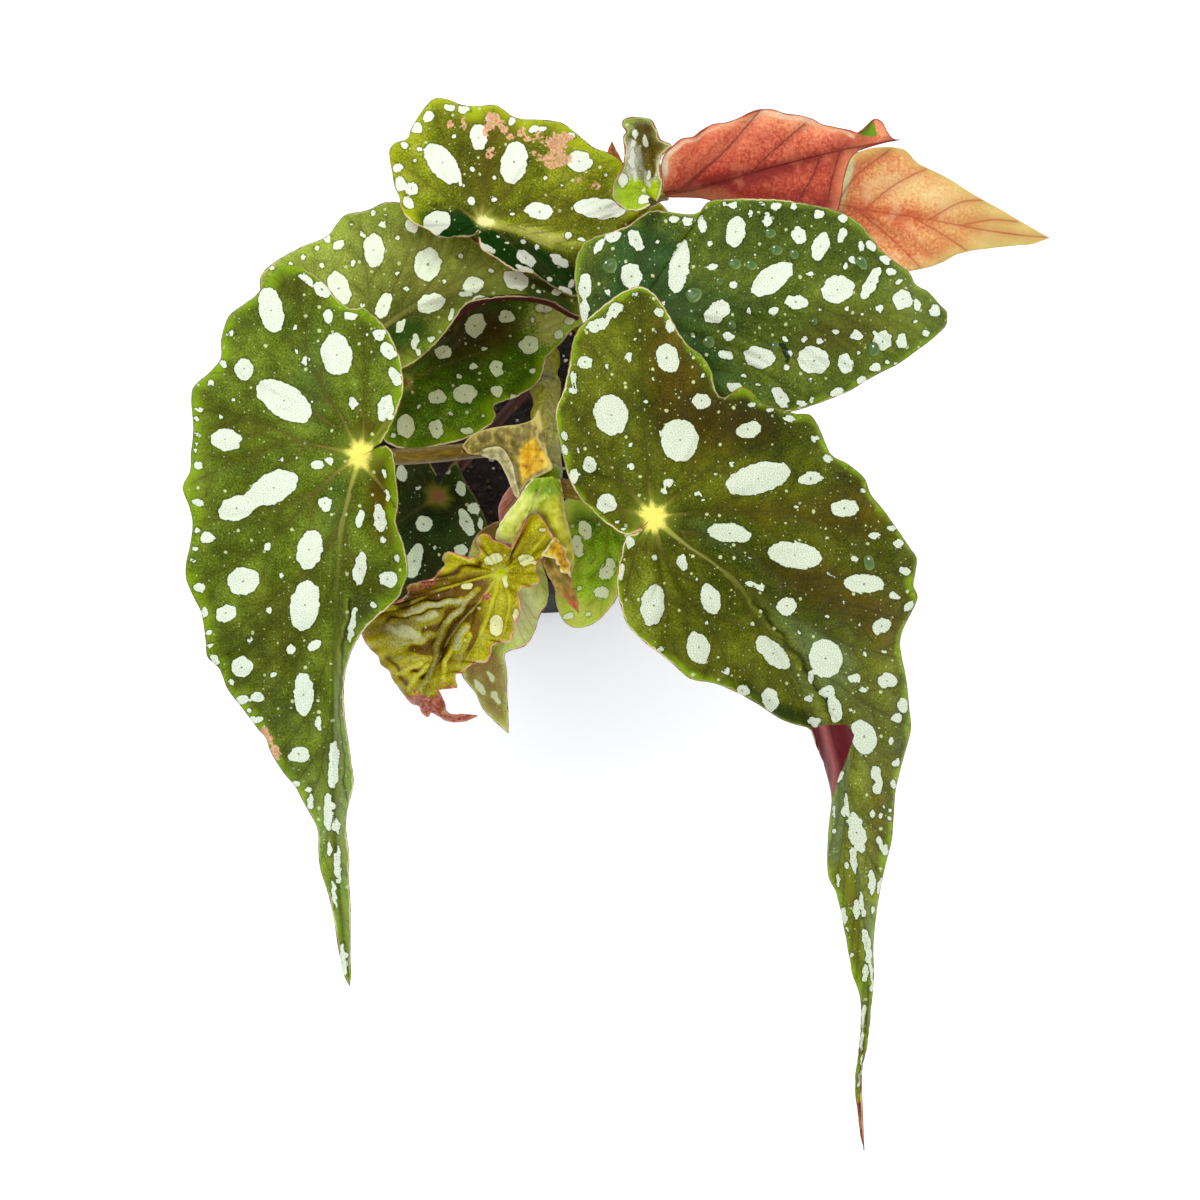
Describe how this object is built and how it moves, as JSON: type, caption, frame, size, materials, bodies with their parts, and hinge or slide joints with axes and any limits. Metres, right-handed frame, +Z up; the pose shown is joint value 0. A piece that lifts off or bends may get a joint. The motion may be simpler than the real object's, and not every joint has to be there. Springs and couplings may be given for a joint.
{
  "type": "potted polka dot begonia",
  "caption": "Leggy angel wing begonia with large silver-spotted, wavy-edged leaves on long canes, standing in a black stepped-rim plastic pot of soil.",
  "frame": {"origin": "centre of the pot's flat bottom, on the surface it stands on", "axes": "+Z up along the pot's axis, -Y to the side that the front cane and the two largest leaves lean to, +X to the side of the turned red leaf"},
  "size_m": [0.2316, 0.2828, 0.2386],
  "materials": {
    "pot": "black moulded plastic, satin",
    "soil": "damp dark potting mix with pale grit",
    "cane": "olive-brown, satin, with pale flecks",
    "leaf": "olive green with silver-white spots, satin; red below",
    "leaf_blue_green": "dark blue-green with silver-white spots, satin; red below",
    "leaf_pale": "pale olive with silver-white spots, satin; red below",
    "leaf_dark": "very dark green with grey spots, satin; red below",
    "leaf_new": "yellow-green and olive, glossy, with a pink margin",
    "leaf_grey_green": "pale grey-green, satin",
    "underside_red": "red underside with darker veins, matte",
    "underside_pale": "orange to yellow-green underside with red veins, matte",
    "stipule_golden": "dry papery golden brown",
    "stipule_green": "thin pale yellow-green with orange and pink edges"
  },
  "bodies": {
    "root": {"pot": "pot", "soil": "soil", "cane_front": "cane", "cane_right": "cane", "cane_left": "cane", "leaf_left": "leaf", "leaf_front": "leaf", "leaf_right": "leaf_blue_green", "leaf_back": "leaf", "leaf_pale": "leaf_pale", "leaf_inner": "leaf_dark", "leaf_low": "leaf_dark", "leaf_tucked": "leaf_pale", "leaf_new": "leaf_new", "leaf_hanging": "leaf_grey_green", "leaf_cupped": "leaf_grey_green", "leaf_turned_red": "underside_red", "leaf_turned_pale": "underside_pale", "stipule_old": "stipule_golden", "stipule_new_left": "stipule_green", "stipule_new_right": "stipule_green", "stipule_tip": "stipule_golden"}
  },
  "joints": []
}
